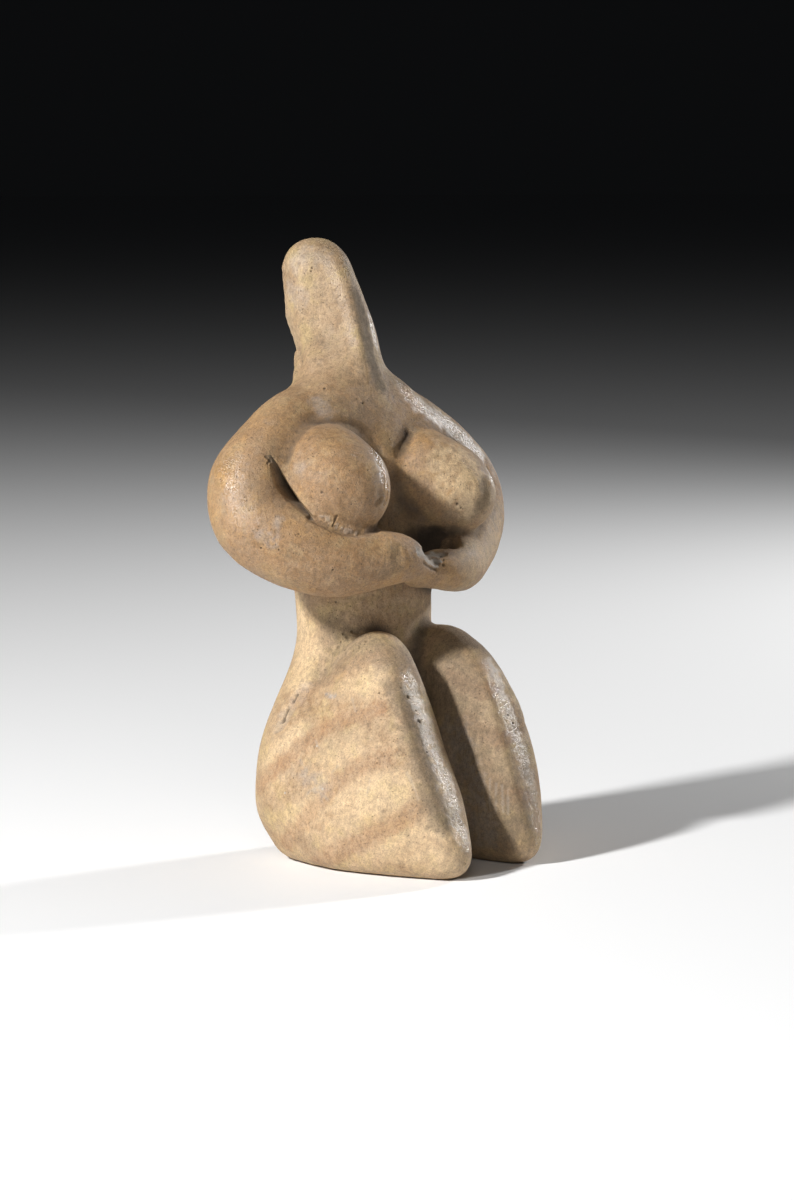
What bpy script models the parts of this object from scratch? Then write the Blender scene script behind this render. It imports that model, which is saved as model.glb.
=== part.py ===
# A hand-modelled clay statuette of a seated woman with drawn-up knees.
# The figure faces -Y, its left side is +X, and it sits on the ground at z = 0.
# It is shaped the way it was made: rolls, slabs and pellets of clay, pressed together and rubbed over.

import bmesh
import bpy
from mathutils import Matrix, Vector

# Driving sizes of the whole figure
figure_height = 0.0800
figure_width = 0.0488
figure_depth = 0.0420

# Radii of the lumps of clay
hip_radius = 0.0094
waist_radius = 0.0080
chest_radius = 0.0073
neck_radius = 0.0057
ridge_radius = 0.00335
thigh_radius = 0.0053
shin_radius = 0.00415
sole_radius = 0.00265
arm_radius = 0.00497
breast_radius = 0.0067

# How finely the clay is read, and how many triangles the solid keeps
grain = 0.00056
ball_detail = 3
solid_triangles = 9400

# The lumps are placed on a sketch of the figure, which is stretched to the driving sizes
sketch_size = Vector((48.18, 41.44, 78.98))
stretch = Vector((
    figure_width / sketch_size.x,
    figure_depth / sketch_size.y,
    figure_height / sketch_size.z,
))


def ball(x, y, z, radius):
    """One ball of clay: its place on the sketch, and its radius in metres."""
    return Vector((x, y, z)) * stretch, radius


def hull_mesh(name, balls):
    """The tightest skin around some balls."""
    shape = bmesh.new()
    for centre, radius in balls:
        place = Matrix.Translation(centre)
        bmesh.ops.create_icosphere(shape, subdivisions=ball_detail, radius=radius, matrix=place)
    hull = bmesh.ops.convex_hull(shape, input=shape.verts)
    inside = {item for item in hull["geom_interior"] if isinstance(item, bmesh.types.BMVert)}
    bmesh.ops.delete(shape, geom=list(inside), context="VERTS")
    mesh = bpy.data.meshes.new(name)
    shape.to_mesh(mesh)
    shape.free()
    return mesh


def between(before, here, there, after, share):
    """A Catmull-Rom curve from here to there, for a point or for a radius."""
    slope_here = (there - before) / 2
    slope_there = (after - here) / 2
    square = share**2
    cube = share**3
    return (
        here * (2 * cube - 3 * square + 1)
        + slope_here * (cube - 2 * square + share)
        + there * (3 * square - 2 * cube)
        + slope_there * (cube - square)
    )


def flowing(sections, steps):
    """The same sections with more between them, along curves that run through all of them."""
    ends = [sections[0]] + sections + [sections[-1]]
    found = []
    for four in zip(ends, ends[1:], ends[2:], ends[3:]):
        for step in range(steps):
            found.append([
                tuple(between(*values, step / steps) for values in zip(*same))
                for same in zip(*four)
            ])
    return found + [sections[-1]]


def slab(name, sections, steps=3):
    """A lump whose sections are groups of balls: a hull from each group to the next."""
    path = flowing(sections, steps)
    return [hull_mesh(name, low + high) for low, high in zip(path, path[1:])]


def roll(name, balls):
    """A tapering roll of clay."""
    return slab(name, [[one] for one in balls], steps=4)


def pressed(name, meshes, rubbing, triangles=None):
    """Presses lumps into one skin and rubs the joints smooth."""
    shape = bmesh.new()
    for mesh in meshes:
        shape.from_mesh(mesh)
    lump = bpy.data.objects.new(name, bpy.data.meshes.new(name))
    shape.to_mesh(lump.data)
    shape.free()
    bpy.context.scene.collection.objects.link(lump)
    press = lump.modifiers.new("Press together", "REMESH")
    press.mode = "VOXEL"
    press.voxel_size = grain
    rub = lump.modifiers.new("Rub smooth", "SMOOTH")
    rub.factor = 0.5
    rub.iterations = rubbing
    mesh = as_modified(lump)
    if triangles:
        thin = lump.modifiers.new("Fewer faces", "DECIMATE")
        thin.ratio = min(1.0, triangles / (2 * len(mesh.polygons)))
        mesh = as_modified(lump)
    bpy.data.objects.remove(lump)
    return mesh


def as_modified(thing):
    """The mesh of an object with its modifiers applied."""
    bpy.context.view_layer.update()
    graph = bpy.context.evaluated_depsgraph_get()
    return bpy.data.meshes.new_from_object(thing.evaluated_get(graph))


def trunk():
    """A stout waist that leans back, flares into broad hips below and into the chest above."""
    hip, waist, chest = hip_radius, waist_radius, chest_radius
    return slab("trunk", [
        [ball(-8.2, 1.8, 8.0, hip), ball(8.2, 1.8, 8.0, hip)],
        [ball(-7.1, 2.3, 13.0, 0.98 * hip), ball(7.1, 2.3, 13.0, 0.98 * hip)],
        [ball(-4.0, 3.0, 18.5, 0.94 * hip), ball(4.0, 3.0, 18.5, 0.94 * hip)],
        [ball(-1.7, 3.5, 24.5, 1.02 * waist), ball(1.7, 3.5, 24.5, 1.02 * waist)],
        [ball(-1.3, 3.8, 31.0, waist), ball(1.3, 3.8, 31.0, waist)],
        [ball(-2.2, 4.1, 38.0, waist), ball(2.2, 4.1, 38.0, waist)],
        [ball(-6.4, 4.8, 44.5, chest), ball(6.4, 4.8, 44.0, chest)],
        [ball(-8.2, 5.5, 50.5, chest), ball(7.7, 5.7, 49.5, chest)],
        [ball(-5.2, 6.2, 54.6, 0.95 * chest), ball(5.2, 6.4, 54.0, 0.95 * chest)],
        [ball(-1.0, 7.2, 57.8, 0.82 * chest), ball(1.6, 7.2, 57.8, 0.82 * chest)],
    ])


def head_and_neck():
    """A pinched stump with a ridge in front and flat cheeks beside it, leaning back."""
    neck, ridge = neck_radius, ridge_radius
    return slab("head", [
        [
            ball(-3.0, 6.4, 51.0, 1.2 * neck),
            ball(0.6, 2.9, 51.0, 1.6 * ridge),
            ball(4.0, 6.4, 51.0, 1.2 * neck),
        ],
        [
            ball(-1.0, 7.2, 56.5, 1.1 * neck),
            ball(0.8, 4.3, 56.5, 1.35 * ridge),
            ball(2.0, 7.2, 56.5, 1.1 * neck),
        ],
        [
            ball(-0.6, 8.8, 61.6, neck),
            ball(0.5, 6.0, 61.6, 1.15 * ridge),
            ball(0.6, 8.7, 61.6, 0.98 * neck),
        ],
        [
            ball(0.1, 10.2, 66.0, 0.94 * neck),
            ball(1.2, 7.2, 66.0, ridge),
            ball(0.8, 10.2, 66.0, 0.93 * neck),
        ],
        [
            ball(-0.5, 12.1, 70.5, 0.91 * neck),
            ball(0.5, 9.0, 70.5, ridge),
            ball(0.0, 12.0, 70.5, 0.9 * neck),
        ],
        [
            ball(-0.2, 13.5, 74.8, 0.79 * neck),
            ball(0.2, 11.2, 74.8, ridge),
            ball(0.0, 13.4, 74.6, 0.82 * neck),
        ],
    ])


def right_leg():
    """A drawn-up leg: one slab, flat on the outside, from the hip to a rounded shin."""
    thigh, shin, sole = thigh_radius, shin_radius, sole_radius
    return slab("right leg", [
        [
            ball(-12.4, 2.8, 3.2, 1.3 * sole),
            ball(-13.8, -7.0, 2.6, sole),
            ball(-10.9, -14.8, 2.5, sole),
            ball(-7.2, -20.9, 2.9, 1.2 * sole),
            ball(-4.2, -6.0, 2.4, sole),
        ],
        [
            ball(-11.4, 2.3, 8.6, 1.08 * thigh),
            ball(-10.7, -7.0, 8.6, 0.96 * thigh),
            ball(-9.3, -13.2, 8.4, 1.1 * shin),
            ball(-7.1, -17.9, 8.4, 0.98 * shin),
            ball(-4.6, -6.0, 8.6, 0.78 * shin),
        ],
        [
            ball(-9.7, 1.6, 14.0, 1.03 * thigh),
            ball(-9.6, -5.5, 14.0, thigh),
            ball(-8.6, -10.4, 14.0, 1.12 * shin),
            ball(-6.9, -14.4, 14.0, shin),
            ball(-5.1, -5.0, 14.0, 0.8 * shin),
        ],
        [
            ball(-7.7, 0.2, 19.5, 0.86 * thigh),
            ball(-7.6, -4.4, 20.0, 0.92 * thigh),
            ball(-7.2, -8.0, 20.0, 1.07 * shin),
            ball(-6.6, -10.9, 20.0, shin),
            ball(-5.7, -4.5, 20.0, 0.88 * shin),
        ],
        [
            ball(-6.3, -2.9, 24.3, 0.88 * shin),
            ball(-6.2, -4.8, 25.2, 0.92 * shin),
            ball(-6.1, -6.0, 25.6, 0.95 * shin),
            ball(-6.0, -7.2, 25.2, 0.97 * shin),
            ball(-5.9, -4.6, 24.6, 0.9 * shin),
        ],
        [
            ball(-6.0, -4.6, 26.0, 0.72 * shin),
            ball(-6.0, -5.4, 26.5, 0.76 * shin),
            ball(-5.9, -5.9, 26.7, 0.78 * shin),
            ball(-5.9, -6.4, 26.5, 0.78 * shin),
            ball(-5.9, -5.2, 26.3, 0.76 * shin),
        ],
    ])


def left_leg():
    """The other leg has a blunter knee and a more bowed shin."""
    thigh, shin, sole = thigh_radius, shin_radius, sole_radius
    return slab("left leg", [
        [
            ball(12.4, 2.8, 3.2, 1.3 * sole),
            ball(13.2, -6.8, 2.6, sole),
            ball(10.0, -13.2, 2.5, sole),
            ball(6.8, -18.6, 2.9, 1.2 * sole),
            ball(4.2, -6.0, 2.4, sole),
        ],
        [
            ball(11.4, 2.3, 8.6, 1.08 * thigh),
            ball(11.0, -7.0, 8.6, 0.96 * thigh),
            ball(8.6, -12.6, 8.6, 1.06 * shin),
            ball(6.5, -17.2, 8.8, shin),
            ball(4.6, -6.0, 8.6, 0.78 * shin),
        ],
        [
            ball(9.7, 1.6, 14.0, 1.03 * thigh),
            ball(9.9, -5.5, 14.0, thigh),
            ball(8.0, -10.8, 14.0, 1.08 * shin),
            ball(6.8, -15.4, 14.0, 1.02 * shin),
            ball(5.1, -5.0, 14.0, 0.8 * shin),
        ],
        [
            ball(7.7, 0.2, 19.5, 0.86 * thigh),
            ball(7.8, -4.4, 20.0, 0.92 * thigh),
            ball(7.3, -8.4, 20.0, 1.06 * shin),
            ball(6.5, -11.6, 19.9, 1.04 * shin),
            ball(5.7, -4.5, 20.0, 0.92 * shin),
        ],
        [
            ball(6.6, -2.6, 24.2, 0.95 * shin),
            ball(6.4, -4.4, 24.6, 1.06 * shin),
            ball(6.3, -5.8, 24.6, 1.08 * shin),
            ball(6.1, -7.3, 24.1, 1.08 * shin),
            ball(5.8, -4.2, 24.4, shin),
        ],
        [
            ball(6.1, -3.6, 25.6, 0.9 * shin),
            ball(6.0, -4.3, 25.9, 0.92 * shin),
            ball(6.0, -4.9, 25.9, 0.94 * shin),
            ball(5.9, -5.7, 25.7, 0.95 * shin),
            ball(5.8, -4.3, 25.9, 0.92 * shin),
        ],
    ])


def right_arm():
    """A roll from the shoulder out, down and across the front, ending in a pinched hand on top."""
    arm = arm_radius
    return roll("right arm", [
        ball(-2.5, 7.4, 56.3, arm),
        ball(-9.0, 6.0, 55.2, arm),
        ball(-14.9, 4.4, 52.5, 0.97 * arm),
        ball(-19.0, 3.6, 48.4, 1.06 * arm),
        ball(-19.4, 2.0, 43.8, 1.1 * arm),
        ball(-16.4, -1.8, 40.8, 1.1 * arm),
        ball(-12.4, -5.2, 39.0, 0.98 * arm),
        ball(-9.0, -7.4, 38.9, 0.8 * arm),
        ball(-6.2, -8.6, 39.1, 0.71 * arm),
        ball(-4.4, -9.1, 38.9, 0.6 * arm),
        ball(-2.8, -9.4, 38.3, 0.41 * arm),
        ball(-1.0, -9.8, 37.6, 0.22 * arm),
    ])


def left_arm():
    """The other roll passes under that hand."""
    arm = arm_radius
    return roll("left arm", [
        ball(2.2, 7.4, 57.0, 0.95 * arm),
        ball(7.4, 6.6, 55.2, 0.95 * arm),
        ball(13.0, 5.6, 51.7, 0.96 * arm),
        ball(17.4, 5.0, 47.4, 0.97 * arm),
        ball(18.5, 4.0, 43.2, 0.97 * arm),
        ball(15.4, 1.2, 39.8, 0.96 * arm),
        ball(10.6, -2.6, 37.8, 0.88 * arm),
        ball(7.4, -5.6, 37.2, 0.74 * arm),
        ball(4.4, -7.2, 37.0, 0.62 * arm),
        ball(1.6, -7.8, 37.0, 0.52 * arm),
        ball(-1.4, -7.8, 37.0, 0.45 * arm),
    ])


def breasts():
    """Two pellets of clay that rest on the forearms."""
    pellet = breast_radius
    right = [
        ball(-10.4, -1.0, 49.2, 1.02 * pellet),
        ball(-10.2, -3.0, 48.0, 1.02 * pellet),
        ball(-9.9, -4.4, 47.6, 0.86 * pellet),
    ]
    left = [
        ball(6.5, -0.4, 48.7, 0.88 * pellet),
        ball(8.8, -2.4, 46.8, 0.9 * pellet),
        ball(9.7, -4.4, 45.9, 0.7 * pellet),
    ]
    return [hull_mesh("right breast", right), hull_mesh("left breast", left)]


def burnished_clay():
    clay = bpy.data.materials.new("burnished_clay")
    clay.use_nodes = True
    shader = clay.node_tree.nodes["Principled BSDF"]
    shader.inputs["Base Color"].default_value = (0.50, 0.34, 0.19, 1)
    shader.inputs["Roughness"].default_value = 0.45
    shader.inputs["Metallic"].default_value = 0.0
    return clay


def collection(name):
    group = bpy.data.collections.new(name)
    bpy.context.scene.collection.children.link(group)
    return group


def ground_cutter():
    """A block just below the ground, for the flat the figure sits on."""
    size = 2 * figure_height
    shape = bmesh.new()
    bmesh.ops.create_cube(shape, size=size)
    ground = bpy.data.objects.new("ground_cutter", bpy.data.meshes.new("ground_cutter"))
    shape.to_mesh(ground.data)
    shape.free()
    ground.location = (0, 0, -size / 2)
    ground.hide_render = True
    ground.display_type = "WIRE"
    return ground


def main():
    for old in list(bpy.data.objects):
        bpy.data.objects.remove(old)

    core = pressed("core", trunk() + head_and_neck(), rubbing=24)
    legs = [pressed("right leg", right_leg(), rubbing=24), pressed("left leg", left_leg(), rubbing=24)]
    arms = right_arm() + left_arm()
    skin = pressed("statuette", [core] + legs + arms + breasts(), rubbing=5, triangles=solid_triangles)
    skin.materials.append(burnished_clay())
    skin.shade_smooth()
    statuette = bpy.data.objects.new("statuette", skin)
    collection("clay_statuette").objects.link(statuette)

    ground = ground_cutter()
    collection("cutters").objects.link(ground)
    cut = statuette.modifiers.new("Flat underside", "BOOLEAN")
    cut.operation = "DIFFERENCE"
    cut.object = ground

    # The origin goes below the middle of the figure's box
    points = [vertex.co for vertex in as_modified(statuette).vertices]
    for axis in (0, 1):
        reach = [point[axis] for point in points]
        statuette.location[axis] -= (min(reach) + max(reach)) / 2


main()
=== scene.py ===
# The finish of a small hand-modelled clay statuette: a seated woman with her knees drawn up.
# Her skin is a finely modelled copy of the CAD solid, pressed, scraped and pitted as the old clay is.
# Marks that show in the picture are named by their pixels there, and land on the clay through the camera.
# Lengths in the dictionaries are millimetres.
import math
import random

import bmesh
import bpy
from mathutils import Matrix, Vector, noise
from mathutils.bvhtree import BVHTree
from mathutils.kdtree import KDTree


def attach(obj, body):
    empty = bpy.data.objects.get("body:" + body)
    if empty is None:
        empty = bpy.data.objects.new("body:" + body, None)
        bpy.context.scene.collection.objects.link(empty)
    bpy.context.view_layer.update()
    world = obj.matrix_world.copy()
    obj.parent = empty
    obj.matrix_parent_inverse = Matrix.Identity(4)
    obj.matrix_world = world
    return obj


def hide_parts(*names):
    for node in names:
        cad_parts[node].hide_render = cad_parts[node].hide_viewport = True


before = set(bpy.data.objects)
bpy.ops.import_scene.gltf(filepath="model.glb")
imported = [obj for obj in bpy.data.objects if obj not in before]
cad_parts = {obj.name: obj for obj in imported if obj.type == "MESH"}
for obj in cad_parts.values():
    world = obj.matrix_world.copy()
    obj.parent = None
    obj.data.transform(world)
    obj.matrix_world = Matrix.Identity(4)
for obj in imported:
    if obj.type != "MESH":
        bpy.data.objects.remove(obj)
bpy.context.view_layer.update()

mm = 0.001

view = {
    "picture": (794, 1200),  # pixels, wide and high
    "focal": 3696,  # pixels
    "azimuth": 41.0,  # degrees round to the figure's right-hand side
    "elevation": 6.5,
    "aim": (2.4, 2.0, 33.0),
    "distance": 482.3,
    "sensor": 36,  # the long side of the camera's frame
    "nearest": 10,  # what is closer to the camera isn't drawn
}


def sightLines():  # towards the eye, to the right and upwards, as the picture has them
    turn, rise = math.radians(view["azimuth"]), math.radians(view["elevation"])
    back = Vector((-math.sin(turn) * math.cos(rise), -math.cos(turn) * math.cos(rise), math.sin(rise)))
    right = Vector((math.cos(turn), -math.sin(turn), 0))
    return back, right, back.cross(right)


towardsEye, toTheRight, upwards = sightLines()
eye = (Vector(view["aim"]) + towardsEye * view["distance"]) * mm


def lookThrough(x, y):  # the direction from the eye through a pixel of the picture
    wide, high = view["picture"]
    way = toTheRight * (x - wide / 2) - upwards * (y - high / 2) - towardsEye * view["focal"]
    return way.normalized()


def pictured(place):  # the pixel a place is seen at
    wide, high = view["picture"]
    off = place - eye
    scale = view["focal"] / -off.dot(towardsEye)
    return wide / 2 + off.dot(toTheRight) * scale, high / 2 - off.dot(upwards) * scale


def addObject(name, shape):
    mesh = bpy.data.meshes.new(name)
    shape.to_mesh(mesh)
    shape.free()
    made = bpy.data.objects.new(name, mesh)
    bpy.context.scene.collection.objects.link(made)
    return made


def withModifiers(thing):
    bpy.context.view_layer.update()
    return bpy.data.meshes.new_from_object(thing.evaluated_get(bpy.context.evaluated_depsgraph_get()))


# The clay skin

skin = {
    "merged": 0.001,  # corners of the solid that are no further apart are one
    "grain": 0.45,  # how finely the clay is modelled before its marks are made
    "rubbing": 12,  # passes that lose the flat faces of the solid
    "wobble": 0.13,  # long, slow unevenness of hand modelling
    "wobbleLumps": (120, 260),  # its broad and its smaller lumps, in a metre
    "smallerLumps": 0.5,  # how high the smaller ones are beside the broad ones
    "strokes": 0.035,  # flats left by the burnishing pebble
    "strokeLumps": (620, 620, 240),  # in a metre each way, so they are longer upwards
    "creases": 0.8,  # how much deeper the joins between the lumps are than in the solid
    "creasePasses": 26,  # of rubbing, which show where the joins are
    "fineWidth": 4.0,  # of the finer clay along the marked runs
    "scrapeWidth": 1.4,  # of the finer clay along the scrapes
    "spotWidths": (1.8, 1.0),  # of the twice refined clay round small marks
    "dirtPasses": 30,  # of rubbing, which show where the hollows are
    "dirtDepth": 0.4,  # a hollow as deep as this is darkened fully
}


def clayCopy():  # a merged copy of the solid with an even fine skin
    shape = bmesh.new()
    shape.from_mesh(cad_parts["statuette"].data)
    bmesh.ops.remove_doubles(shape, verts=shape.verts, dist=skin["merged"] * mm)
    lump = addObject("lump", shape)
    remesh = lump.modifiers.new("fine skin", "REMESH")
    remesh.mode = "VOXEL"
    remesh.voxel_size = skin["grain"] * mm
    rub = lump.modifiers.new("rub", "SMOOTH")
    rub.iterations = skin["rubbing"]
    fine = withModifiers(lump)
    bpy.data.objects.remove(lump)
    return fine


def atHeight(run, z):  # where a run that goes down crosses a level
    for start, end in zip(run, run[1:]):
        if end.z <= z:
            return start.lerp(end, (start.z - z) / (start.z - end.z))
    return run[-1].copy()


hands = {  # how the maker's hands work the clay
    "stride": 0.35,  # from place to place along a run, as a share of its reach
    "rimLumps": 1400,  # in a metre of a ragged rim
    "rimSwing": 1.6,  # how far they move it
    "markSpread": 1.4,  # the higher it is, the further out a mark keeps its full strength
    "flatReach": 1.8,  # clay that is further from a new flat is left alone
    "flatFacing": 0.1,  # and so is clay that hardly faces the same way
    "flatMargin": 0.3,  # how far beside the flat it is rubbed too, as a share of its width
    "overlapReach": 3.4,
    "overlapLip": 1.8,  # pixels that the upper side is rounded over
    # how strongly shade is painted into the sunk side of an overlap
    "overlapStain": 1.6,
    "overlapGrime": 0.7,
}


class Clay:
    # the skin under the maker's hands: it is refined, pressed and pulled along runs of points, and marked
    # Some of these marks are light and shade painted into the colour: painted shade in grooves, recesses and
    # on turned-away faces, painted fill light on a shaded face, and painted highlight along shiny ridges.
    marks = ("band", "warm", "pale", "ash", "stain", "grime", "wear", "chip", "gloss")

    def __init__(self, mesh):
        self.shape = bmesh.new()
        self.shape.from_mesh(mesh)
        bmesh.ops.triangulate(self.shape, faces=self.shape.faces)
        self.layers = {name: self.shape.verts.layers.float.new(name) for name in self.marks}
        self.settle()

    def settle(self):  # after the shape has changed, so that places are found on it
        self.shape.normal_update()
        self.shape.verts.ensure_lookup_table()
        self.verts = self.shape.verts
        self.places = KDTree(len(self.verts))
        for vert in self.verts:
            self.places.insert(vert.co, vert.index)
        self.places.balance()
        self.sight = BVHTree.FromBMesh(self.shape)

    def rub(self, passes, verts=None, strength=0.5):
        for each in range(passes):
            bmesh.ops.smooth_vert(
                self.shape, verts=verts or self.verts, factor=strength,
                use_axis_x=True, use_axis_y=True, use_axis_z=True,
            )

    def seen(self, spots):  # where pixels of the picture land on the clay
        found = [self.sight.ray_cast(eye, lookThrough(*spot))[0] for spot in spots]
        return [place for place in found if place]

    def nearest(self, places):
        return [self.sight.find_nearest(place)[0] for place in places]

    def reached(self, run, reach):  # how far each point of the clay near a run lies from it
        steps = run[:1]
        for start, end in zip(run, run[1:]):
            count = max(1, math.ceil((end - start).length / (reach * hands["stride"])))
            steps += [start.lerp(end, step / count) for step in range(1, count + 1)]
        found = {}
        for step in steps:
            for place, index, away in self.places.find_range(step, reach):
                if away < found.get(index, reach):
                    found[index] = away
        return found

    def refine(self, runs, width):  # finer clay along some runs
        inside = set()
        for run in runs:
            inside.update(self.verts[index] for index in self.reached(run, width / 2 * mm))
        edges = [edge for edge in self.shape.edges if edge.verts[0] in inside and edge.verts[1] in inside]
        bmesh.ops.subdivide_edges(self.shape, edges=edges, cuts=1, use_grid_fill=True)
        wide = [face for face in self.shape.faces if len(face.verts) > 3]
        bmesh.ops.triangulate(self.shape, faces=wide)
        self.settle()

    def work(self, run, width, depth, ragged=0.25, taper=1.0, way=None, **marks):
        # presses in by depth along a run, or pulls out where it is negative, and lays marks on with it
        reach = width / 2 * mm
        for index, away in self.reached(run, reach * (1 + ragged)).items():
            vert = self.verts[index]
            rim = reach * (1 + ragged * noise.noise(vert.co * hands["rimLumps"]) * hands["rimSwing"])
            share = 1 - (away / rim) ** 2
            if share <= 0:
                continue
            vert.co -= (way or vert.normal) * depth * mm * share**taper
            for name, strength in marks.items():
                layer = self.layers[name]
                vert[layer] = max(vert[layer], strength * min(1, share * hands["markSpread"]))

    def press(self, run, width, depth=0.0, **how):  # works along a run of pixels of the picture
        self.work(self.seen(run), width, depth, **how)

    def straighten(self, first, second, share, fade, rubbing):
        # makes the clay flat from one upright run to the other, level by level, and rubs its edges
        margin = hands["flatMargin"]
        top = min(first[0].z, second[0].z)
        foot = max(first[-1].z, second[-1].z)
        touched = []
        for vert in self.verts:
            place = vert.co
            if not foot < place.z < top:
                continue
            start, end = atHeight(first, place.z), atHeight(second, place.z)
            along = end - start
            along.z = 0
            width = along.length
            off = place - start
            part = off.dot(along) / width**2
            out = Vector((along.y, -along.x, 0)) / width
            proud = off.dot(out)
            if abs(proud) > hands["flatReach"] * mm or not -margin < part < 1 + margin:
                continue
            if vert.normal.dot(out) < hands["flatFacing"]:
                continue
            touched.append(vert)
            if 0 < part < 1:
                ends = min(1, min(top - place.z, place.z - foot) / (fade * mm))
                vert.co -= out * proud * share * ends**2 * (3 - 2 * ends)
        self.rub(rubbing, touched)

    def beside(self, edge, reach):
        # the clay near an edge in the picture: how many pixels right of it each point is, the edge's
        # two settings there, and how far off the point is as a share of the reach
        run = self.seen([(x, y) for x, y, *settings in edge])
        for index, away in self.reached(run, reach * mm).items():
            vert = self.verts[index]
            x, y = pictured(vert.co)
            if edge[0][1] < y < edge[-1][1]:
                along = 0
                while edge[along + 1][1] < y:
                    along += 1
                above, below = edge[along], edge[along + 1]
                part = (y - above[1]) / (below[1] - above[1])
                level = [first * (1 - part) + second * part for first, second in zip(above, below)]
                yield vert, x - level[0], level[2], level[3], away / (reach * mm)

    def overlap(self, edge):
        # sinks the clay left of an edge in the picture, so that the right side overlaps it, and paints shade
        # into the sunk side
        stain, grime = self.layers["stain"], self.layers["grime"]
        for vert, across, wide, deep, away in self.beside(edge, hands["overlapReach"]):
            if vert.normal.dot(towardsEye) <= 0:
                continue
            if across < 0:
                share = max(0, 1 + across / wide)
                vert[stain] = max(vert[stain], min(1, hands["overlapStain"] * share))
                vert[grime] = max(vert[grime], hands["overlapGrime"] * share**2)
            else:
                share = max(0, 1 - across / hands["overlapLip"])
            vert.co -= towardsEye * deep * mm * share

    def slope(self, edge, reach):
        # turns the clay right of an edge in the picture away, more and more, without changing its outline
        pixel = view["distance"] / view["focal"] * mm  # how wide one is at the figure
        for vert, across, wide, steep, away in self.beside(edge, reach):
            if across > 0:
                past = across**2 / (2 * wide) if across < wide else across - wide / 2
                vert.co -= towardsEye * steep * past * pixel * (1 - away**2) ** 2

    def soften(self, run, width, passes):
        self.rub(passes, [self.verts[index] for index in self.reached(run, width / 2 * mm)])

    def flatGround(self):
        for vert in self.verts:
            vert.co.z = max(vert.co.z, 0)

    def hollows(self, passes):
        # how far each point lies below its surroundings, or above them where it is negative
        rest = [vert.co.copy() for vert in self.verts]
        self.rub(passes)
        found = []
        for vert, was in zip(self.verts, rest):
            found.append((vert.co - was).dot(vert.normal))
            vert.co = was
        return found


# Places are pixels of the picture, and sizes are millimetres across and deep. The clay is made finer
# along the runs named fine, before it is worked.
headMarks = {
    "fine": [
        [(297, 345), (296, 362), (294, 380)],
        [(338, 262), (352, 290), (360, 320), (365, 350), (367, 376)],
    ],
    "leftSide": ([(285, 292), (289, 310), (292, 326), (295, 342)], 9.0, 0.85),
    "ridge": ([(340, 262), (348, 280), (355, 300), (360, 322), (363, 345), (366, 372)], 3.6, -0.35),
    "cheek": [
        [(306, 248), (300, 266), (298, 300), (302, 340), (308, 384)],
        [(326, 248), (334, 266), (347, 300), (356, 340), (362, 384)],
    ],
    "cheekFlat": {"share": 0.8, "fade": 4.0, "rubbing": 9},
    "turned": [  # right of the cheek: pixel, pixels across, and how steep it grows
        (342, 262, 6, 0.4), (348, 281, 7, 0.65), (353, 308, 8, 0.65), (357, 330, 8, 0.65),
        (361, 350, 9, 0.65), (366, 374, 12, 0.6), (372, 396, 18, 0.5), (384, 418, 24, 0.3),
        (394, 436, 24, 0.0),
    ],
    "turnedReach": 10.0,
    "flake": ([(298, 355), (298, 360), (299, 366)], 1.7, -0.45),
}

handMarks = {
    "fine": [
        [(390, 535), (400, 548), (415, 556), (432, 562), (445, 560)],
        [(405, 565), (430, 572)],
    ],
    "rim": ([(428, 548), (438, 546), (447, 543)], 3.8, 1.5),
    "recess": ([(414, 538), (430, 541), (446, 540)], 4.0, 1.0),
    "facet": ([(389, 538), (390, 549)], 2.4, -0.14),
    "dent": ([(397, 550), (398, 560)], 2.0, 0.12),
    "broken": [([(420, 552), (430, 554), (440, 554)], 1.6, 0.26), ([(427, 558), (436, 561)], 1.6, 0.26)],
    "ridges": [[(417, 551), (436, 567)], [(424, 552), (438, 566)], [(431, 552), (441, 562)]],
    "ridgeSize": (0.4, -0.16),
    "crease": ([(424, 563), (431, 568), (437, 570)], 0.5, 0.25),
    "pits": [(442, 556), (444, 560), (443, 565)],
    "pitSize": (0.5, 0.22),
}

breastMarks = {
    "fine": [[(268, 460), (284, 482), (300, 508), (325, 520), (350, 531), (372, 532)]],
    "edge": [  # beside the right arm: pixel, pixels across, and depth
        (271, 455, 6, 0), (277, 464, 8, 0.7), (283, 476, 11, 1.8), (288, 485, 14, 2.8),
        (299, 501, 13, 3.0), (309, 513, 8, 1.8), (315, 519, 5, 0),
    ],
    "below": ([(311, 518), (322, 524), (336, 530), (351, 534), (366, 534), (377, 528)], 1.3, 0.34),
    "around": (
        [(288, 462), (294, 445), (305, 431), (322, 423), (341, 421), (358, 426), (372, 438), (382, 455)],
        1.1, 0.16,
    ),
    "crack": ([(337, 516), (335, 521), (333, 525)], 0.34, 0.25),
    "crumbs": [
        (322, 517), (327, 520), (331, 523), (337, 525), (342, 528), (347, 530), (352, 531), (357, 533),
    ],
    "crumbSize": (0.75, -0.10),
    "rightTip": ([(381, 492), (381, 499), (379, 503)], 1.5, 0.2),
    "rightTipPit": ([(382, 500)], 0.6, 0.25),
    "leftTip": ([(486, 482), (486, 494), (482, 506)], 2.0, 0.26),
    "lowFlat": ([(352, 512), (372, 508)], 4.2, 0.14),
    "leftJoin": [(470, 448), (478, 456), (486, 466), (493, 478)],
    "leftJoinRub": (3.6, 30),  # width, and passes
    "leftNotch": ([(407, 434), (403, 443), (399, 452)], 2.2, 0.24),
    "slitTop": [(266, 457), (270, 461), (274, 458), (268, 463)],
    "slitSize": (0.5, 0.14),
}

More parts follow.
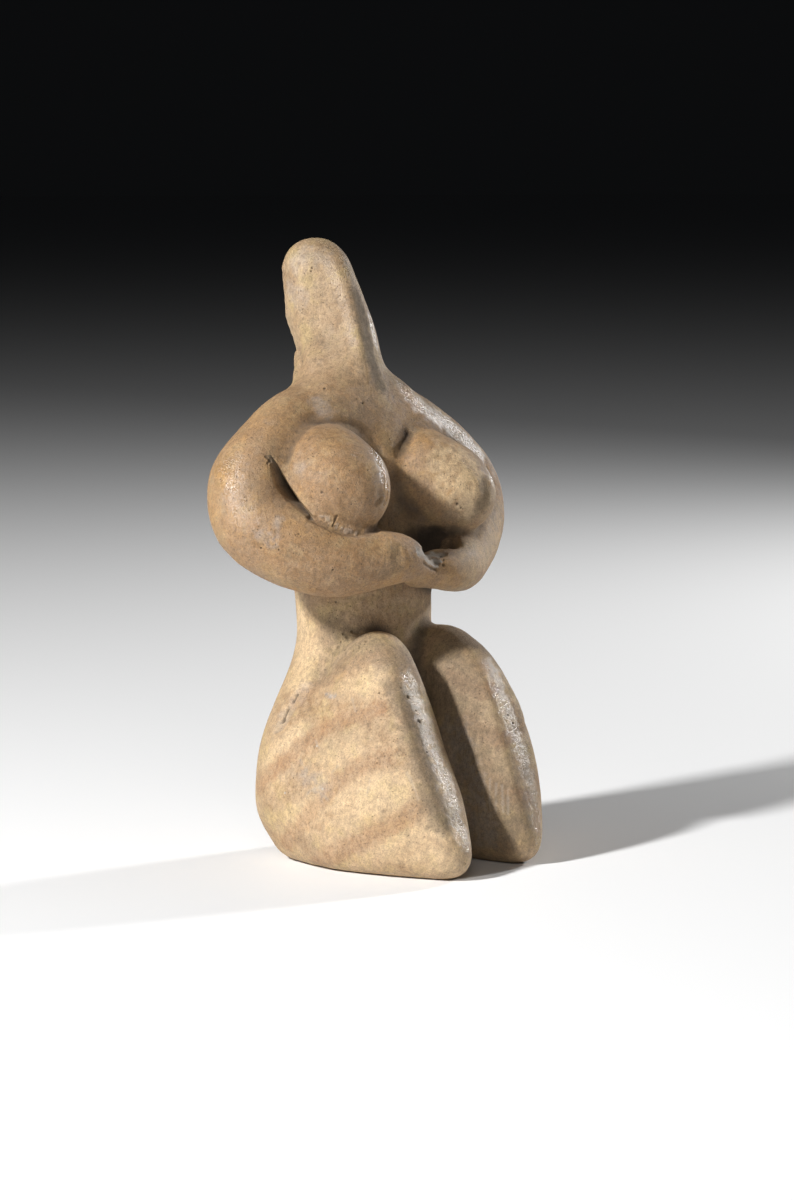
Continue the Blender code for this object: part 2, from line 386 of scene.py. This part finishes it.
lapMarks = {
    "fine": [
        [(347, 655), (330, 668), (312, 684), (300, 697), (290, 712), (280, 728)],
        [(345, 632), (360, 646)],
    ],
    "crease": ([(352, 650), (332, 667), (314, 682), (300, 696), (290, 711), (281, 726)], 3.0, 0.2),
    "chips": [([(282, 721), (287, 709)], 0.55, 0.36), ([(293, 701), (297, 694)], 0.5, 0.12)],
    "greySpot": ([(327, 695), (334, 696)], 0.95, 0.08),
    "coarse": [
        (343, 634), (347, 638), (352, 632), (349, 644), (355, 640), (359, 647), (345, 649), (362, 636),
        (352, 650), (341, 642), (366, 641), (357, 633), (338, 647),
    ],
    "coarseSize": (0.6, 0.16),
}

legMarks = {
    "fine": [
        [(398, 668), (412, 705), (430, 745), (446, 790), (462, 840)],
        [(484, 652), (500, 690), (515, 730), (532, 790)],
    ],
    "scar": ([(308, 777), (316, 783), (322, 790)], 3.2, 0.12),
    "turned": [  # right of each shin: pixel, pixels across, and how steep it grows
        [
            (384, 652, 12, 0), (389, 674, 13, 0.4), (394, 695, 13, 0.9), (407, 738, 14, 1.0),
            (421, 781, 14, 0.9), (435, 824, 14, 0.7), (450, 854, 12, 0),
        ],
        [
            (466, 642, 12, 0), (475, 670, 12, 0.3), (484, 695, 12, 0.7), (495, 738, 13, 0.8),
            (508, 781, 13, 0.8), (521, 824, 12, 0.6), (531, 846, 10, 0),
        ],
    ],
    "turnedReach": 9.0,
    "wedge": [  # the flat on the left shin
        [(446, 668), (453, 700), (471, 740), (490, 780), (502, 820)],
        [(468, 668), (480, 700), (493, 740), (506, 780), (518, 820)],
    ],
    "wedgeFlat": {"share": 0.5, "fade": 3.0, "rubbing": 8},
    "knee": ([(484, 658), (495, 676), (505, 698)], 9.0, -0.6),
    "shinPits": [  # pixel, and width
        (408, 697, 0.55), (416, 711, 0.3), (419, 721, 0.42), (401, 688, 0.26), (427, 752, 0.26),
        (508, 715, 0.3), (513, 723, 0.4), (498, 688, 0.26),
    ],
    "flecks": [(285, 793), (317, 746), (322, 789)],
    "fleckSize": (0.4, -0.06),
    "scrapes": [
        [(306, 795), (313, 789), (320, 787)], [(311, 790), (319, 793), (327, 799)], [(315, 740), (319, 748)],
        [(407, 773), (413, 785), (418, 799)], [(484, 781), (484, 806)], [(490, 779), (490, 809)],
        [(496, 783), (496, 812)], [(502, 786), (503, 812)], [(508, 790), (508, 814)],
        [(300, 760), (306, 771)], [(332, 772), (338, 766)], [(352, 698), (356, 712)],
        [(370, 780), (366, 796)],
    ],
    "scrapeSize": (0.42, 0.04),
}

bands = {  # painted stripes, faint and worn, each with its strength
    "width": 3.0,
    "ragged": 0.45,
    "farLift": 1.2,  # how much higher they are on the far side of the left leg
    "rightLeg": [
        ([(297, 701), (318, 686), (340, 673), (362, 662), (382, 656)], 0.55),
        ([(259, 786), (273, 771), (290, 757), (306, 742), (323, 729), (343, 720), (363, 714), (381, 708)],
         0.85),
        ([(286, 845), (297, 831), (309, 815), (322, 800), (335, 786), (350, 773), (368, 763), (388, 756)],
         0.65),
        ([(318, 863), (334, 856), (350, 847), (366, 838), (382, 831), (398, 824), (412, 812)], 0.7),
    ],
    "leftLeg": [
        ([(452, 676), (467, 686), (482, 693), (493, 690)], 1.0),
        ([(466, 721), (482, 731), (497, 739), (507, 738)], 0.9),
        ([(494, 784), (510, 794), (526, 797)], 0.9),
    ],
}

# Where the clay is stained, smoked, warmer, paler, chipped or still shiny, and where shade, fill light and
# highlight are painted into its colour: runs, widths and strengths
stains = {
    "stain": [
        # painted shade on the turned front of the right shin
        ([(398, 690), (410, 720), (421, 756), (430, 788), (442, 820)], 4.6, 0.75),
        # painted shadow where the right leg shades the left shin
        ([(446, 668), (458, 700), (470, 738), (484, 781), (500, 824)], 9.0, 0.8),
        # painted shade in the recess below the breasts, above the hand
        ([(398, 524), (425, 538), (448, 538)], 5.0, 0.5),
        # painted shade on the turned right side of the head and neck
        ([(357, 296), (365, 330), (371, 356), (380, 384)], 3.0, 0.9),
        # painted shade on the left shin beside its turned front
        ([(464, 668), (480, 700), (491, 738), (504, 781), (517, 824)], 6.0, 0.5),
        ([(326, 674), (346, 658), (372, 650), (392, 660)], 6.0, 0.5),
        ([(476, 650), (494, 680), (512, 720), (526, 770)], 4.0, 0.2),
        # painted shadow of the forearm on the top of the right knee
        ([(372, 646), (386, 652), (396, 664)], 4.5, 0.35),
        ([(330, 745), (352, 735), (376, 728)], 4.0, 0.18),
        ([(330, 405), (352, 412), (372, 420)], 4.5, 0.35),
        ([(395, 552), (396, 566), (385, 575)], 2.6, 0.4),
        ([(300, 838), (312, 848)], 3.0, 0.25),
        # painted shade in the crease under the forearms, where there is grit too
        ([(334, 634), (350, 642), (368, 644)], 6.0, 0.7),
        ([(458, 512), (476, 511), (489, 500)], 5.0, 0.45),
        # painted shadow of the forearm on the top of the right knee
        ([(358, 652), (378, 648), (394, 662)], 5.5, 0.5),
        # painted shade on the chest where it turns away beside the neck ridge
        ([(366, 385), (380, 410), (394, 440)], 5.0, 0.3),
        # painted shadow on the top of the left knee
        ([(437, 642), (452, 633), (468, 638), (482, 652)], 6.5, 0.5),
    ],
    "ash": [
        ([(318, 404), (326, 410)], 3.2, 0.5),
        ([(296, 262), (308, 254), (322, 256)], 3.5, 0.35),
        ([(290, 288), (300, 298)], 3.0, 0.35),
        ([(264, 534), (272, 540)], 2.4, 0.5),
        ([(276, 524), (281, 519)], 1.5, 0.5),
        # painted fill light: a greyer, lighter colour on the shaded inner face of the left leg
        ([(452, 738), (466, 790), (480, 830)], 7.0, 0.5),
        ([(278, 728), (290, 710), (304, 690)], 2.6, 0.35),
        ([(302, 776), (314, 780), (322, 786)], 2.4, 0.45),
        ([(300, 468)], 2.2, 0.4),
    ],
    "warm": [
        ([(350, 596), (396, 600), (440, 610)], 10.0, 0.6),
        ([(298, 714), (328, 700), (352, 692)], 4.0, 0.6),
        ([(380, 700), (402, 722)], 4.0, 0.5),
        ([(268, 802), (290, 790)], 4.0, 0.5),
        ([(384, 762), (402, 757), (418, 751)], 3.2, 0.8),
        ([(216, 500), (220, 530), (232, 556)], 5.0, 0.5),
        ([(262, 540), (296, 556), (330, 562), (372, 560)], 7.5, 1.0),
        ([(318, 450), (336, 474), (350, 500)], 11.0, 1.0),
        ([(322, 505), (345, 510)], 3.5, 0.7),
        ([(306, 405), (330, 400), (356, 412)], 7.0, 0.8),
        ([(300, 425), (316, 412)], 5.0, 0.6),
        ([(262, 440), (250, 462)], 6.0, 0.3),
        ([(292, 722), (310, 706)], 2.0, 0.7),
    ],
    "pale": [
        ([(456, 464), (466, 480), (480, 494)], 8.0, 1.0),
        ([(470, 560), (488, 545), (496, 525)], 6.0, 0.5),
        ([(352, 684), (372, 674)], 6.0, 0.6),
        ([(268, 768), (284, 750), (302, 734)], 5.0, 0.7),
        ([(330, 752), (352, 742)], 5.0, 0.5),
        ([(346, 806), (370, 796), (394, 790)], 7.0, 0.7),
        ([(296, 822), (326, 796)], 5.0, 0.6),
        ([(400, 846), (430, 838), (446, 852)], 7.0, 0.6),
        ([(300, 624), (306, 650), (296, 678)], 7.0, 0.7),
        ([(492, 706), (500, 722)], 4.0, 0.5),
        ([(500, 758), (506, 776)], 4.0, 0.5),
    ],
    "chip": [
        # these three runs are painted highlight: a lighter grey along the shiny fronts of both shins and
        # along the left shoulder
        ([(412, 686), (422, 714), (433, 744), (445, 780), (457, 816), (465, 840)], 2.0, 0.3),
        ([(492, 668), (504, 698), (515, 732), (526, 766), (534, 802)], 1.8, 0.3),
        ([(424, 402), (440, 416), (458, 430), (474, 448)], 2.0, 0.2),
    ],
    "gloss": [
        ([(408, 680), (420, 712), (431, 742), (443, 778), (455, 814), (464, 842)], 3.6, 1.0),
        ([(488, 664), (500, 696), (513, 730), (525, 765), (534, 805), (538, 832)], 3.2, 1.0),
        ([(353, 268), (363, 290), (370, 318), (376, 345)], 1.5, 0.9),
        ([(404, 388), (414, 400), (426, 410), (442, 420), (460, 434), (478, 456)], 3.4, 0.9),
        ([(374, 452), (381, 466), (385, 482), (386, 500)], 2.4, 1.0),
        ([(398, 356), (392, 372)], 1.5, 0.6),
        ([(228, 470), (238, 492), (242, 510)], 6.5, 0.8),
        ([(226, 472), (230, 488)], 3.0, 1.0),
        ([(490, 474), (493, 482)], 2.0, 0.8),
        ([(330, 268), (340, 290), (349, 315), (353, 340)], 2.2, 0.6),
    ],
}

pits = {  # small holes where temper fell out
    "seen": [  # pixel, and width
        (325, 388, 0.42), (312, 268, 0.3), (311, 271, 0.26), (363, 403, 0.36), (357, 399, 0.24),
        (261, 548, 0.36), (279, 550, 0.36), (299, 534, 0.3), (379, 693, 0.4), (377, 763, 0.36),
        (457, 504, 0.4), (461, 508, 0.26), (322, 492, 0.34), (368, 470, 0.24), (333, 570, 0.3),
        (305, 652, 0.26), (329, 602, 0.3), (336, 602, 0.24), (436, 604, 0.3), (441, 612, 0.34),
        (430, 618, 0.26), (443, 597, 0.3), (438, 626, 0.3),
    ],
    "deep": 0.5,  # as a share of the width
    "scattered": 90,
    "size": (0.3, 0.5),
    "shallow": 0.15,  # how deep the scattered ones are, as a share of the width
    "seed": 7,
}


def uneven(clay):  # slow lumps, and the small flats of burnishing
    broad, small = skin["wobbleLumps"]
    for vert in clay.verts:
        place = vert.co
        slow = noise.noise(place * broad) + skin["smallerLumps"] * noise.noise(place * small)
        stroke = noise.noise(Vector([length * lumps for length, lumps in zip(place, skin["strokeLumps"])]))
        vert.co = place + vert.normal * mm * (skin["wobble"] * slow + skin["strokes"] * stroke)


def deepenCreases(clay):
    for vert, hollow in zip(clay.verts, clay.hollows(skin["creasePasses"])):
        if hollow > 0:
            vert.co -= vert.normal * hollow * skin["creases"]


def refineAll(clay):
    edge = clay.seen([spot[:2] for spot in breastMarks["edge"]])
    runs = []
    for marks in (handMarks, breastMarks, headMarks, lapMarks, legMarks):
        runs += [clay.seen(run) for run in marks["fine"]]
    clay.refine(runs, skin["fineWidth"])
    clay.refine([clay.seen(run) for run in legMarks["scrapes"]], skin["scrapeWidth"])
    small = handMarks["pits"] + breastMarks["crumbs"] + breastMarks["slitTop"] + lapMarks["coarse"]
    small += [spot[:2] for spot in legMarks["shinPits"] + legMarks["flecks"] + pits["seen"]]
    for width in skin["spotWidths"]:
        clay.refine([edge] + [clay.seen([spot]) for spot in small], width)


def modelHead(clay):
    head = headMarks
    clay.press(*head["leftSide"], ragged=0.05, way=-toTheRight)
    clay.settle()
    clay.press(*head["ridge"], ragged=0.05)
    clay.settle()
    clay.straighten(*map(clay.seen, head["cheek"]), **head["cheekFlat"])
    clay.settle()
    clay.slope(head["turned"], head["turnedReach"])
    clay.settle()
    clay.press(*head["flake"], ragged=0.1, taper=0.4, way=-toTheRight)


def modelLegs(clay):
    leg = legMarks
    clay.press(*leg["knee"], ragged=0.05, way=toTheRight)
    clay.settle()
    clay.straighten(*map(clay.seen, leg["wedge"]), **leg["wedgeFlat"])
    clay.settle()
    for edge in leg["turned"]:
        clay.slope(edge, leg["turnedReach"])
    clay.settle()
    clay.press(*leg["scar"], ragged=0.5, taper=0.5, ash=0.35)
    for x, y, width in leg["shinPits"]:
        clay.press([(x, y)], width, pits["deep"] * width, ragged=0.5, grime=0.95)
    for spot in leg["flecks"]:
        clay.press([spot], *leg["fleckSize"], chip=0.8)
    for run in leg["scrapes"]:
        clay.press(run, *leg["scrapeSize"], ragged=0.5, chip=0.22)


def modelBreasts(clay):
    breast = breastMarks
    clay.soften(clay.seen(breast["leftJoin"]), *breast["leftJoinRub"])
    clay.overlap(breast["edge"])
    clay.press(*breast["lowFlat"])
    # the crease below the breasts, the notch, the crack and the top of the slit are darkened with painted
    # shade in them; the tips are worn dark
    clay.press(*breast["below"], grime=0.3)
    clay.press(*breast["around"])
    clay.press(*breast["rightTip"], grime=0.3)
    clay.press(*breast["rightTipPit"], grime=0.7)
    clay.press(*breast["leftTip"], grime=0.45)
    clay.press(*breast["leftNotch"], grime=0.1)
    for spot in breast["crumbs"]:
        clay.press([spot], *breast["crumbSize"], ragged=0.9, chip=0.25)
    clay.press(*breast["crack"], ragged=0.4, grime=0.6)
    for spot in breast["slitTop"]:
        clay.press([spot], *breast["slitSize"], ragged=0.6, grime=0.6)


def modelHand(clay):
    hand = handMarks
    clay.press(*hand["rim"], ragged=0.1, way=upwards)
    # the recess above the hand is pressed back and painted with shade
    clay.press(*hand["recess"], ragged=0.1, way=towardsEye, stain=0.3)
    clay.press(*hand["facet"], ragged=0.1)
    clay.press(*hand["dent"], ragged=0.1, stain=0.2)
    clay.settle()
    for mark in hand["broken"]:
        clay.press(*mark, ragged=0.4, taper=0.5, chip=0.8)
    for run in hand["ridges"]:
        clay.press(run, *hand["ridgeSize"], ragged=0.4, chip=1.0)
    clay.press(*hand["crease"], grime=0.7)
    for spot in hand["pits"]:
        clay.press([spot], *hand["pitSize"], ragged=0.4, grime=0.7)


def modelLap(clay):
    lap = lapMarks
    clay.press(*lap["crease"], ragged=0.3)
    for mark in lap["chips"]:
        clay.press(*mark, ragged=0.4, grime=0.8)
    clay.press(*lap["greySpot"], ragged=0.4, ash=1.0)
    for spot in lap["coarse"]:
        clay.press([spot], *lap["coarseSize"], ragged=0.7, grime=0.45)


def makePits(clay):
    picks = random.Random(pits["seed"])
    for x, y, width in pits["seen"]:
        # the pits are darkened inside: dirt, and painted shade in the holes
        clay.press([(x, y)], width, pits["deep"] * width, ragged=0.5, grime=0.9)
    for each in range(pits["scattered"]):
        vert = clay.verts[picks.randrange(len(clay.verts))]
        width = picks.uniform(*pits["size"])
        clay.work([vert.co.copy()], width, pits["shallow"] * width, ragged=0.6, grime=0.25)


def gatherDirt(clay):  # darker in the hollows, the deeper the darker, and ridges are worn
    grime, wear = clay.layers["grime"], clay.layers["wear"]
    for vert, hollow in zip(clay.verts, clay.hollows(skin["dirtPasses"])):
        share = hollow / (skin["dirtDepth"] * mm)
        vert[grime] = max(vert[grime], min(1, share))
        vert[wear] = min(1, max(0, -share))


def paintBands(clay):
    width, ragged = bands["width"], bands["ragged"]
    for run, strength in bands["rightLeg"] + bands["leftLeg"]:
        clay.press(run, width, ragged=ragged, band=strength)
    for run, strength in bands["rightLeg"]:  # the far side of the other leg is painted alike
        far = [Vector((-place.x, place.y, place.z + bands["farLift"] * mm)) for place in clay.seen(run)]
        clay.work(clay.nearest(far), width, 0.0, ragged=ragged, band=strength)


def stainClay(clay):
    for mark, runs in stains.items():
        for run, width, strength in runs:
            clay.press(run, width, ragged=0.4, **{mark: strength})


def makeSkin():
    clay = Clay(clayCopy())
    clay.flatGround()
    clay.settle()
    deepenCreases(clay)
    uneven(clay)
    clay.settle()
    print("clay skin:", len(clay.shape.faces), "triangles")
    refineAll(clay)
    print("finer where it is marked:", len(clay.shape.faces), "triangles")
    for stage in (modelHead, modelLegs, modelBreasts, modelHand, modelLap, makePits):
        stage(clay)
    clay.settle()
    gatherDirt(clay)
    paintBands(clay)
    stainClay(clay)
    clay.flatGround()
    print("marks made")
    statuette = addObject("claySkin", clay.shape)
    statuette.data.shade_smooth()
    return statuette


# Materials

class Socket:
    # one output of a node, so that values are written as sums
    def __init__(self, recipe, socket):
        self.recipe = recipe
        self.socket = socket

    def maths(self, operation, first, second):
        return self.recipe.node("ShaderNodeMath", {"operation": operation}, {0: first, 1: second})

    def __add__(self, other):
        return self.maths("ADD", self, other)

    def __sub__(self, other):
        return self.maths("SUBTRACT", self, other)

    def __rsub__(self, other):
        return self.maths("SUBTRACT", other, self)

    def __mul__(self, other):
        return self.maths("MULTIPLY", self, other)

    __radd__ = __add__
    __rmul__ = __mul__

    def beside(self, name):  # another output of the same node
        return Socket(self.recipe, self.socket.node.outputs[name])


class Recipe:
    # a material's nodes
    def __init__(self, name):
        self.material = bpy.data.materials.new(name)
        self.material.use_nodes = True
        self.tree = self.material.node_tree
        self.shader = self.tree.nodes["Principled BSDF"]

    def node(self, kind, settings=None, inputs=None, output=0):
        made = self.tree.nodes.new(kind)
        for name, value in (settings or {}).items():
            setattr(made, name, value)
        for name, value in (inputs or {}).items():
            self.feed(made.inputs[name], value)
        return Socket(self, made.outputs[output])

    def feed(self, socket, value):
        if isinstance(value, Socket):
            self.tree.links.new(value.socket, socket)
        else:
            socket.default_value = value

    def noise(self, place, size, detail, roughness=0.55):  # size is that of the lumps, in millimetres
        return self.node("ShaderNodeTexNoise", {}, {
            "Vector": place, "Scale": 1 / (size * mm), "Detail": detail, "Roughness": roughness,
        })

    def moved(self, place, far):  # so that two noises of one kind differ
        return self.node("ShaderNodeMapping", {}, {"Vector": place, "Location": (far, -far, far)})

    def shade(self, colour, share, least, most):  # darker where the share is 0 and lighter where it is 1
        grey = self.blend(share, (least, least, least, 1), (most, most, most, 1))
        return self.blend(1.0, colour, grey, "MULTIPLY")

    def mark(self, name):  # how strongly the clay is marked
        return self.node("ShaderNodeAttribute", {"attribute_name": name}, {}, "Fac")

    def between(self, value, low, high):  # 0 below low, 1 above high, and smooth
        return self.node("ShaderNodeMapRange", {"interpolation_type": "SMOOTHSTEP"}, {
            "Value": value, "From Min": low, "From Max": high,
        })

    def blend(self, share, first, second, how="MIX"):
        return self.node("ShaderNodeMix", {"data_type": "RGBA", "blend_type": how}, {
            0: share, 6: first, 7: second,
        }, 2)


clayLook = {
    # the colours, in linear light
    "cream": (0.46, 0.315, 0.177, 1),
    "buff": (0.39, 0.255, 0.128, 1),
    "tan": (0.28, 0.162, 0.073, 1),
    "ochre": (0.345, 0.185, 0.062, 1),
    "russet": (0.235, 0.125, 0.047, 1),
    "yellow": (0.45, 0.32, 0.14, 1),
    "olive": (0.27, 0.195, 0.105, 1),
    "grey": (0.34, 0.275, 0.205, 1),
    "pale": (0.62, 0.45, 0.26, 1),
    "band": (0.28, 0.14, 0.058, 1),
    # the next four colours are also used for painted light: the grey one as painted fill light, the two dark
    # ones as painted shade, the light grey one as painted highlight
    "ash": (0.33, 0.285, 0.245, 1),
    "stain": (0.17, 0.12, 0.07, 1),
    "grime": (0.045, 0.032, 0.022, 1),
    "chip": (0.42, 0.375, 0.32, 1),
    "lumps": {  # how wide they are in each noise
        "broad": 16,
        "patches": 5,
        "clouds": 3.4,
        "blotches": 2.4,
        "mottle": 1.1,
        "speckle": 0.6,
        "streaks": 0.55,
        "pores": 0.5,
        "grains": 0.2,
    },
    "arms": (32.5, 36.0),  # heights between which the warm clay of the arms and chest begins
    "armsWander": 4,  # how far that line wanders up and down
    "neck": (56, 67),  # and between which it ends
    "neckWander": 12,
    # where each colour begins and is full in its noise, and its strength
    "buffIn": (0.42, 0.60),
    "ochreIn": (0.44, 0.62),
    "warmth": 0.85,
    "yellowIn": (0.48, 0.66),
    "yellowing": 0.7,
    "yellowingLost": 0.45,  # on the arms and chest
    "tanIn": (0.5, 0.68),
    "tanning": 0.6,
    "oliveIn": (0.52, 0.68),
    "olives": 0.22,
    "greyIn": (0.53, 0.70),
    "greys": 0.18,
    "russetIn": (0.3, 0.7),
    "russets": 0.9,
    "paleIn": (0.2, 0.6),
    "pales": 0.8,
    "paintIn": (0.34, 0.62),
    "paintLeast": 0.3,  # what is left of the bands where they are most worn
    "paintMore": 0.65,
    "stainLeast": 0.4,
    "ashIn": (0.3, 0.6),
    "grimeLeast": 0.6,
    "grimeMore": 0.5,
    "pinholesIn": (0.06, 0.2),
    "pinholeChance": (0.85, 1.2),
    "pinholes": 0.55,
    # where the fine noises turn from dark to light, and how dark and how light the clay gets
    "streaksIn": (0.3, 0.7),
    "speckleIn": (0.3, 0.62),
    "grainsIn": (0.3, 0.6),
    # how much darker the head and neck are, as painted shade
    "headShade": (0.82, 1.0),
    "streakShade": (0.89, 1.07),
    "speckleShade": (0.72, 1.10),
    "grainShade": (0.74, 1.12),
    "rough": 0.74,  # of the plain clay
    "sheen": 0.9,
    "burnish": 0.48,  # how much smoother the best kept burnish is
    "wornBurnish": 0.3,  # how much of it the worn ridges have
    "dulled": {"mottle": 0.4, "grime": 0.3, "chip": 0.05, "stain": 0.15},
    "relief": 0.085,  # of the finest unevenness
    "raised": {"speckle": 1.2, "grains": 0.9, "mottle": 0.5, "streaks": 0.3, "pinholes": 1.4},
}


def burnishedClay():
    clay = Recipe("burnishedClay")
    look, lumps = clayLook, clayLook["lumps"]
    place = clay.node("ShaderNodeTexCoord", output="Object")
    height = clay.node("ShaderNodeSeparateXYZ", inputs={"Vector": place}, output="Z")
    broad = clay.noise(place, lumps["broad"], 2)
    patches = clay.noise(place, lumps["patches"], 4)
    clouds = clay.noise(clay.moved(place, 0.3), lumps["clouds"], 4, 0.6)
    blotches = clay.noise(clay.moved(place, 0.7), lumps["blotches"], 5, 0.65)
    mottle = clay.noise(place, lumps["mottle"], 4, 0.65)
    speckle = clay.noise(place, lumps["speckle"], 5, 0.8)
    grains = clay.noise(clay.moved(place, 0.5), lumps["grains"], 3, 0.7)
    stretched = clay.node("ShaderNodeMapping", {}, {"Vector": place, "Scale": (1, 1, 0.2)})
    streaks = clay.noise(stretched, lumps["streaks"], 4, 0.6)
    pores = {"Vector": place, "Scale": 1 / (lumps["pores"] * mm)}
    cells = clay.node("ShaderNodeTexVoronoi", {}, pores, "Distance")
    chance = clay.node("ShaderNodeSeparateColor", {}, {"Color": cells.beside("Color")}, "Red")
    pinholes = 1 - clay.between(cells, *look["pinholesIn"])
    pinholes = pinholes * clay.between(chance + patches, *look["pinholeChance"])

    # the ground colour, warmer on the arms, breasts and chest
    buffs = clay.between(broad * 0.5 + patches * 0.5, *look["buffIn"])
    colour = clay.blend(buffs, look["cream"], look["buff"])
    low, high = look["arms"]
    arms = clay.between(height + (patches - 0.5) * (look["armsWander"] * mm), low * mm, high * mm)
    low, high = look["neck"]
    neck = clay.between(height + (patches - 0.5) * (look["neckWander"] * mm), low * mm, high * mm)
    upper = arms * (1 - neck)
    ochres = clay.between(mottle * 0.4 + patches * 0.6, *look["ochreIn"])
    colour = clay.blend(upper * look["warmth"], colour, clay.blend(ochres, look["tan"], look["ochre"]))
    yellows = clay.between(clouds, *look["yellowIn"]) * (look["yellowing"] - upper * look["yellowingLost"])
    colour = clay.blend(yellows, colour, look["yellow"])
    colour = clay.blend(clay.between(1 - clouds, *look["tanIn"]) * look["tanning"], colour, look["tan"])
    colour = clay.blend(clay.between(blotches, *look["oliveIn"]) * look["olives"], colour, look["olive"])
    colour = clay.blend(clay.between(1 - blotches, *look["greyIn"]) * look["greys"], colour, look["grey"])
    # painted shade: the head and neck are darker, for the light falling weaker there
    colour = clay.shade(colour, 1 - neck, *look["headShade"])
    russets = clay.mark("warm") * clay.between(mottle, *look["russetIn"]) * look["russets"]
    colour = clay.blend(russets, colour, look["russet"])
    pales = clay.mark("pale") * clay.between(mottle, *look["paleIn"]) * look["pales"]
    colour = clay.blend(pales, colour, look["pale"])

    # paint, stains and dirt, with painted shade, painted fill light and painted highlight laid into the
    # colour
    paint = clay.between(mottle * 0.4 + clouds * 0.6, *look["paintIn"])
    paint = clay.mark("band") * (look["paintLeast"] + paint * look["paintMore"])
    colour = clay.blend(paint, colour, look["band"])
    # stains, and painted shade on turned-away faces, on the knee tops and in the recess below the breasts
    colour = clay.blend(clay.mark("stain") * (mottle + look["stainLeast"]), colour, look["stain"])
    # grey ash patches, and painted fill light on the shaded face of the left leg
    colour = clay.blend(clay.mark("ash") * clay.between(mottle, *look["ashIn"]), colour, look["ash"])
    colour = clay.shade(colour, clay.between(streaks, *look["streaksIn"]), *look["streakShade"])
    colour = clay.shade(colour, clay.between(speckle, *look["speckleIn"]), *look["speckleShade"])
    colour = clay.shade(colour, clay.between(grains, *look["grainsIn"]), *look["grainShade"])
    # chips and scrapes, and painted highlight along the shins and the left shoulder
    colour = clay.blend(clay.mark("chip"), colour, look["chip"])
    colour = clay.blend(pinholes * look["pinholes"], colour, look["grime"])
    # dark in pits, cracks and creases, with painted shade in the grooves and recesses
    grime = clay.mark("grime") * (look["grimeLeast"] + patches * look["grimeMore"])
    colour = clay.blend(grime, colour, look["grime"])
    clay.feed(clay.shader.inputs["Base Color"], colour)

    # the shine of the burnish, and the finest relief
    burnish = clay.mark("gloss") + clay.mark("wear") * look["wornBurnish"]
    dulled = look["dulled"]
    dull = (mottle - 0.5) * dulled["mottle"] + grime * dulled["grime"]
    dull = dull + clay.mark("chip") * dulled["chip"] + clay.mark("stain") * dulled["stain"]
    rough = look["rough"] + dull - burnish * look["burnish"]
    clay.feed(clay.shader.inputs["Roughness"], rough)
    clay.shader.inputs["Specular IOR Level"].default_value = look["sheen"]
    raised = look["raised"]
    relief = speckle * raised["speckle"] + grains * raised["grains"] + mottle * raised["mottle"]
    relief = relief + streaks * raised["streaks"] - pinholes * raised["pinholes"]
    bump = clay.node("ShaderNodeBump", {}, {"Distance": look["relief"] * mm, "Height": relief})
    clay.feed(clay.shader.inputs["Normal"], bump)
    return clay.material


# The studio

studio = {
    "floor": 30000,
    "floorColour": (0.93, 0.93, 0.93, 1),
    "floorRough": 0.6,
    "air": (0.0035, 0.0037, 0.004, 1),
    "lights": {  # degrees round from the eye to the right, and up, then size, distance and watts
        "keyLight": (-49, 33, 60, 640, 6.1),
        "sideLight": (131, 20, 50, 560, 2.0),
        "fillLight": (0, 30, 500, 1100, 1.3),
    },
}


def makeFloor():
    shape = bmesh.new()
    bmesh.ops.create_grid(shape, x_segments=1, y_segments=1, size=studio["floor"] / 2 * mm)
    floor = addObject("floor", shape)
    plain = Recipe("paleFloor")
    plain.shader.inputs["Base Color"].default_value = studio["floorColour"]
    plain.shader.inputs["Roughness"].default_value = studio["floorRough"]
    floor.data.materials.append(plain.material)


def makeLights():
    level = Vector((towardsEye.x, towardsEye.y, 0)).normalized()
    aim = Vector(view["aim"]) * mm
    for name, (turn, rise, size, distance, watts) in studio["lights"].items():
        turn, rise = math.radians(turn), math.radians(rise)
        way = (level * math.cos(turn) + toTheRight * math.sin(turn)) * math.cos(rise)
        way.z = math.sin(rise)
        lamp = bpy.data.lights.new(name, "AREA")
        lamp.shape = "DISK"
        lamp.size = size * mm
        lamp.energy = watts
        made = bpy.data.objects.new(name, lamp)
        made.location = aim + way * distance * mm
        made.rotation_mode = "QUATERNION"
        made.rotation_quaternion = way.to_track_quat("Z", "Y")
        bpy.context.scene.collection.objects.link(made)
    air = bpy.data.worlds.new("studioAir")
    air.use_nodes = True
    air.node_tree.nodes["Background"].inputs["Color"].default_value = studio["air"]
    bpy.context.scene.world = air


def makeCamera():
    lens = bpy.data.cameras.new("camera")
    lens.sensor_width = view["sensor"]
    lens.lens = view["focal"] / view["picture"][1] * lens.sensor_width
    lens.clip_start = view["nearest"] * mm
    camera = bpy.data.objects.new("camera", lens)
    camera.location = eye
    camera.rotation_mode = "QUATERNION"
    camera.rotation_quaternion = towardsEye.to_track_quat("Z", "Y")
    bpy.context.scene.collection.objects.link(camera)
    bpy.context.scene.camera = camera


statuette = makeSkin()
statuette.data.materials.append(burnishedClay())
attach(statuette, "root")
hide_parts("statuette")
print("statuette finished")
makeFloor()
makeLights()
makeCamera()
bpy.context.scene.view_settings.view_transform = "Standard"
print("studio ready")
